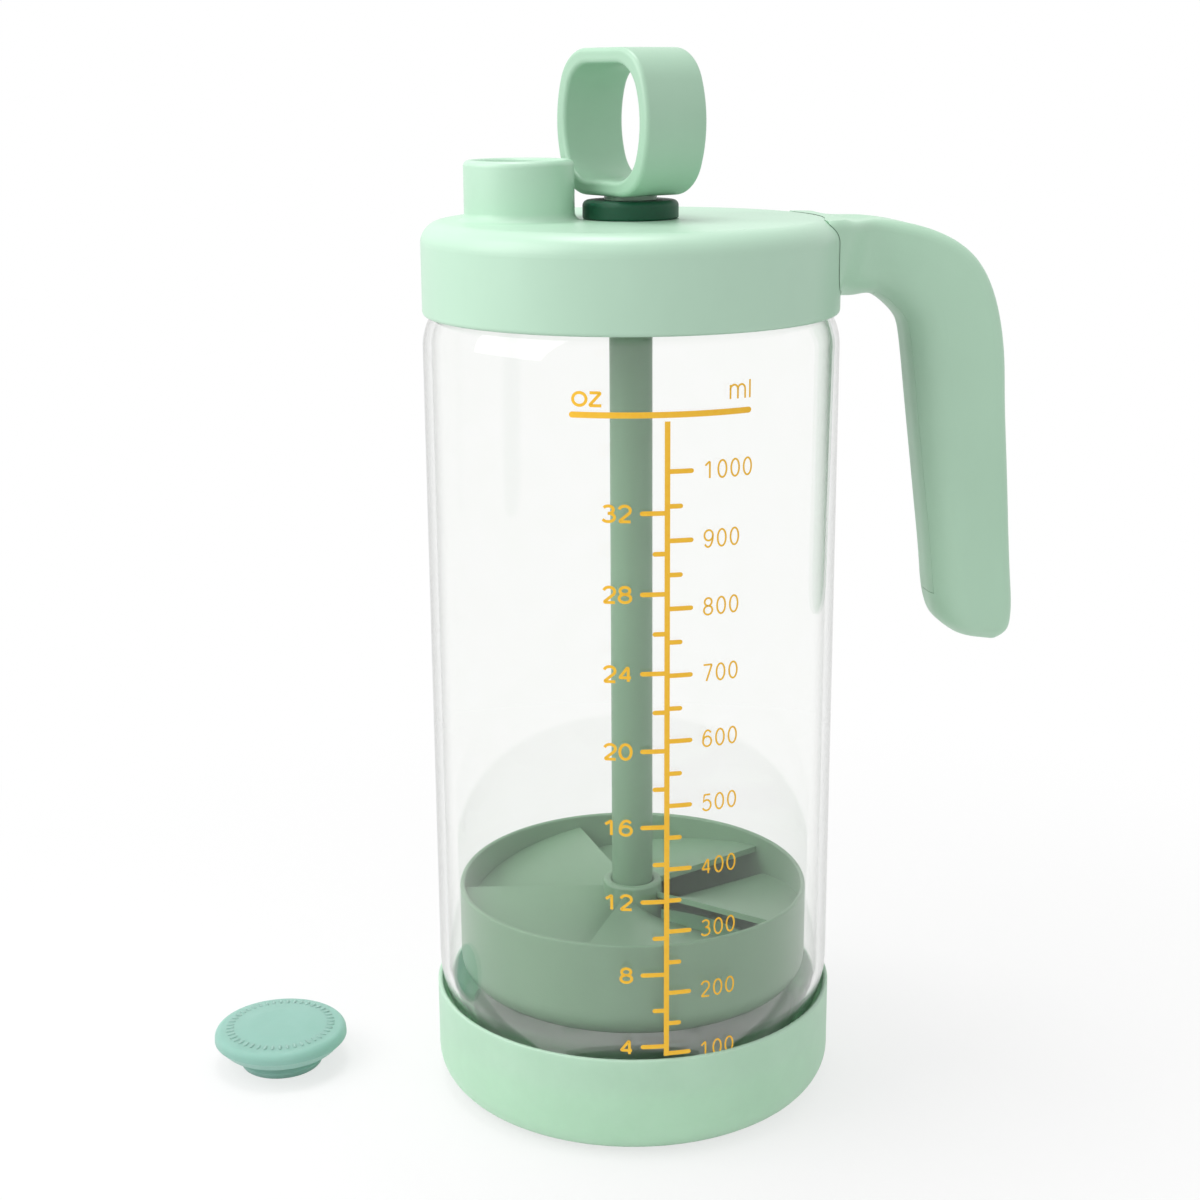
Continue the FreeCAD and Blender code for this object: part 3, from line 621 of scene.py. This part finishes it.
def figures(text, left, low, width, height, step):
    """Pen lines of a row of figures: the size of each one and the step from one to the next."""
    lines = []
    for place, letter in enumerate(text):
        for line in FIGURES[letter]:
            scaled = [(left + step * place + point[0] * width, low + point[1] * height, *point[2:])
                      for point in line]
            lines.append(rounded(scaled, 4, closed=False))
    return lines


def unit_name(letters, low):
    """Pen lines of a unit's letters, which each have a place and a size of their own."""
    return [line for letter, left, width, height in letters
            for line in figures(letter, left, low, width, height, 0)]


def pen_lines(name, lines, stroke):
    """Flat ribbons of one width drawn along lines, as a bmesh that stands upright."""
    bm = bmesh.new()
    for line in lines:
        row = [bm.verts.new((*point, 0)) for point in line]
        for pair in zip(row, row[1:]):
            bm.edges.new(pair)
    bmesh.ops.remove_doubles(bm, verts=bm.verts, dist=1e-4)
    mesh = bpy.data.meshes.new(name)
    bm.to_mesh(mesh)
    bm.free()
    tree = Grown(name, SCALE_ENAMEL, mesh, Stroke=stroke)
    path = tree.node("GeometryNodeMeshToCurve", None, {
        "Mesh": Wire(tree, tree.entry.outputs["Lines"])})
    path = tree.node("GeometryNodeSetCurveNormal", {"mode": "Z_UP"}, {"Curve": path})
    nib = [tree.node("ShaderNodeCombineXYZ", None, {"X": tree.size("Stroke") * side})
           for side in (-0.5, 0.5)]
    profile = tree.node("GeometryNodeCurvePrimitiveLine", None, {"Start": nib[0], "End": nib[1]})
    drawn = tree.mesh(tree.node("GeometryNodeCurveToMesh", None, {
        "Curve": path, "Profile Curve": profile}))
    for vertex in drawn.verts:
        vertex.co = Vector((vertex.co.x, 0, vertex.co.y))
    return drawn


def printed(name, bm, film=PRINT_FILM):
    """A flat drawing as a thin closed film on the jar's wall, cut each millimetre so that it bends."""
    for cut in range(int(HEADER_ENDS[0]) - 1, int(HEADER_ENDS[1]) + 2):
        geometry = bm.verts[:] + bm.edges[:] + bm.faces[:]
        bmesh.ops.bisect_plane(bm, geom=geometry, plane_co=(cut, 0, 0), plane_no=(1, 0, 0))
    made = bmesh.ops.extrude_face_region(bm, geom=bm.faces[:], use_keep_orig=True)["geom"]
    raised = [item for item in made if isinstance(item, bmesh.types.BMVert)]
    bmesh.ops.translate(bm, vec=(0, -film, 0), verts=raised)
    for vertex in bm.verts:
        angle = vertex.co.x / JAR_RADIUS
        reach = JAR_RADIUS + PRINT_LIFT - vertex.co.y
        vertex.co = Vector((reach * math.sin(angle), -reach * math.cos(angle), vertex.co.z))
    piece = finished(name, bm, SCALE_ENAMEL, 60)
    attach(piece, "jar")
    return piece


def build_scale():
    """Measuring scale fired on the glass: millilitres to the right, ounces to the left."""
    ounce = ML_PER_OZ * SCALE_PER_100 / 100
    zero = SCALE_100 - SCALE_PER_100
    shared = {"Columns": 15, "Start": 0.0, "Every": 2, "Stroke": STROKE}
    printed("scale_ml_ticks", pen_strokes(
        "ml_ticks", Count=19, First=SCALE_100, Rise=SCALE_PER_100 / 2, Long=ML_LONG,
        Short=ML_SHORT, Side=1.0, **shared))
    printed("scale_oz_ticks", pen_strokes(
        "oz_ticks", Count=15, First=zero + 4 * ounce - OZ_DROP, Rise=2 * ounce, Long=OZ_LONG,
        Short=OZ_SHORT, Side=-1.0, **shared))
    header = dict(shared, Columns=60, Start=HEADER_ENDS[0], Stroke=STROKE * 1.25)
    printed("scale_header", pen_strokes(
        "header", Count=1, First=HEADER_HEIGHT, Rise=0.0, Long=HEADER_ENDS[1] - HEADER_ENDS[0],
        Short=1.0, Side=1.0, **header))
    printed("scale_line", outline_block(-LINE_WIDTH / 2, LINE_WIDTH / 2, SCALE_BOTTOM, SCALE_TOP),
            PRINT_FILM * 1.2)
    fine = unit_name(ML_UNIT, ML_UNIT_LOW)
    for hundreds in range(1, 11):
        middle = zero + SCALE_PER_100 * hundreds
        fine += figures(str(hundreds * 100), ML_NUMBER_LEFT, middle - ML_FIGURE_DROP, *ML_FIGURE)
    printed("scale_ml_numbers", pen_lines("ml_numbers", fine, FINE_STROKE))
    bold = unit_name(OZ_UNIT, OZ_UNIT_LOW)
    for ounces in range(4, 33, 4):
        text = str(ounces)
        middle = zero + ounce * ounces - OZ_DROP
        left = OZ_NUMBER_RIGHT - OZ_FIGURE[0] - OZ_FIGURE[2] * (len(text) - 1)
        bold += figures(text, left, middle - OZ_FIGURE[1] / 2, *OZ_FIGURE)
    printed("scale_oz_numbers", pen_lines("oz_numbers", bold, BOLD_STROKE))


def build_plug_trim():
    """Ribs on the plug's head and the fine line that its mould left, with a painted highlight on that line.
    """
    ribs = finished("plug_grip_ribs", plug_ribs(), PLUG_SILICONE)
    root = PLUG_RIM - PARTING_ROOT
    edge = PARTING_HALF / 3
    outline = [(root, PLUG_PARTING - PARTING_HALF), (PLUG_RIM, PLUG_PARTING - edge),
               (PLUG_RIM, PLUG_PARTING + edge), (root, PLUG_PARTING + PARTING_HALF)]
    bm = bmesh.new()
    spin(bm, outline, 120, PLUG_CENTRE)
    # the parting line carries a painted highlight: lighter than the plug's own silicone
    line = finished("plug_parting_line", bm, PLUG_LINE_HIGHLIGHT)
    for piece in (ribs, line):
        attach(piece, "stopper")


def build_lid_thread():
    ridge = finished("lid_thread", thread_ridge(), MINT_PLASTIC)
    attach(ridge, "lid")


def dress(node, material):
    """Gives a carried-over node its finish."""
    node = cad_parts[node]
    node.data.materials.clear()
    node.data.materials.append(material)


jar = build_jar()
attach(jar, "jar")
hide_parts("glass_jar")
build_scale()
build_plug_trim()
build_lid_thread()
for node, material in (
        ("base_boot", BOOT_SILICONE), ("lid_cap", MINT_PLASTIC), ("lid_gasket", GASKET_SILICONE),
        ("handle_shell", HANDLE_PLASTIC), ("handle_cover", HANDLE_PLASTIC),
        ("plunger_seal", SEAL_SILICONE), ("finger_ring", RING_PLASTIC),
        ("plunger_rod", ROD_PLASTIC), ("mixing_wheel", WHEEL_PLASTIC),
        ("wheel_cap", WHEEL_PLASTIC), ("spout_plug", PLUG_SILICONE)):
    dress(node, material)


# ------------------------------------------------------------------ stage, light and camera

def looked_at(tree):
    """1 for a ray from the camera, or one that a gloss or a glass passes on, else 0."""
    seen = tree.node("ShaderNodeLightPath", output="Is Camera Ray")
    glossy = tree.node("ShaderNodeLightPath", output="Is Glossy Ray")
    through = tree.node("ShaderNodeLightPath", output="Is Transmission Ray")
    return seen.most(glossy).most(through)


def build_stage():
    """Pale floor that is lost in white away from the object and keeps its soft shadow."""
    bm = bmesh.new()
    bmesh.ops.create_grid(bm, x_segments=2, y_segments=2, size=FLOOR_HALF)
    bmesh.ops.translate(bm, vec=(0, 0, -FLOOR_DROP), verts=bm.verts)
    finish = Finish("studio_floor")
    cloud = finish.noise(400.0, 2.0)
    base = finish.blend(cloud, (0.86, 0.86, 0.86, 1), (0.88, 0.88, 0.88, 1))
    matte = finish.node("ShaderNodeBsdfDiffuse", None, {"Color": base})
    glow = finish.node("ShaderNodeEmission", None, {"Color": (1, 1, 1, 1), "Strength": 1.0})
    reach = finish.node("ShaderNodeVectorMath", {"operation": "LENGTH"}, {0: finish.place}, output="Value")
    fade = FLOOR_GLOW + finish.ramp(reach, *FLOOR_WHITE) * (1 - FLOOR_GLOW)
    finish.output(Surface=finish.node("ShaderNodeMixShader", None, {
        0: looked_at(finish) * fade, 1: matte, 2: glow}))
    finished("studio_floor", bm, finish.material)


def build_world():
    world = bpy.data.worlds.new("studio")
    bpy.context.scene.world = world
    world.use_nodes = True
    tree = Tree(world.node_tree)
    tree.nodes.nodes.clear()
    white = tree.node("ShaderNodeBackground", None, {"Color": (1, 1, 1, 1), "Strength": 1.0})
    fill = tree.node("ShaderNodeBackground", None, {"Color": (1, 1, 1, 1), "Strength": SHADE_FILL})
    mixed = tree.node("ShaderNodeMixShader", None, {0: looked_at(tree), 1: fill, 2: white})
    tree.node("ShaderNodeOutputWorld", None, {"Surface": mixed})


def softbox(name, point, target, side, power):
    """A square lamp in metres and watts whose own picture stays out of the glass's inner faces."""
    light = bpy.data.lights.new(name, "AREA")
    light.size = side
    light.energy = power
    lamp = bpy.data.objects.new(name, light)
    lamp.visible_transmission = False
    lamp.location = point
    lamp.rotation_euler = (Vector(target) - Vector(point)).to_track_quat("-Z", "Y").to_euler()
    bpy.context.scene.collection.objects.link(lamp)


def build_camera():
    pitch = math.radians(CAMERA_PITCH)
    yaw = math.radians(CAMERA_YAW)
    sight = Vector((math.cos(pitch) * math.sin(yaw), math.cos(pitch) * math.cos(yaw), -math.sin(pitch)))
    data = bpy.data.cameras.new("camera")
    data.lens = CAMERA_LENS
    data.sensor_width = 36
    data.sensor_height = 36
    data.sensor_fit = "HORIZONTAL"
    data.clip_start = 0.01
    camera = bpy.data.objects.new("camera", data)
    camera.location = CAMERA_POINT
    aim = sight.to_track_quat("-Z", "Y") @ Quaternion((0, 0, 1), math.radians(CAMERA_ROLL))
    camera.rotation_euler = aim.to_euler()
    bpy.context.scene.collection.objects.link(camera)
    bpy.context.scene.camera = camera


build_stage()
build_world()
softbox("key", point=(-0.36, -0.08, 0.40), target=(0, 0, 0.19), side=0.36, power=1.0)
softbox("top", point=(-0.1, 0.1, 1.1), target=(0, 0, 0.1), side=0.40, power=3.5)
build_camera()
bpy.context.scene.view_settings.view_transform = "Standard"
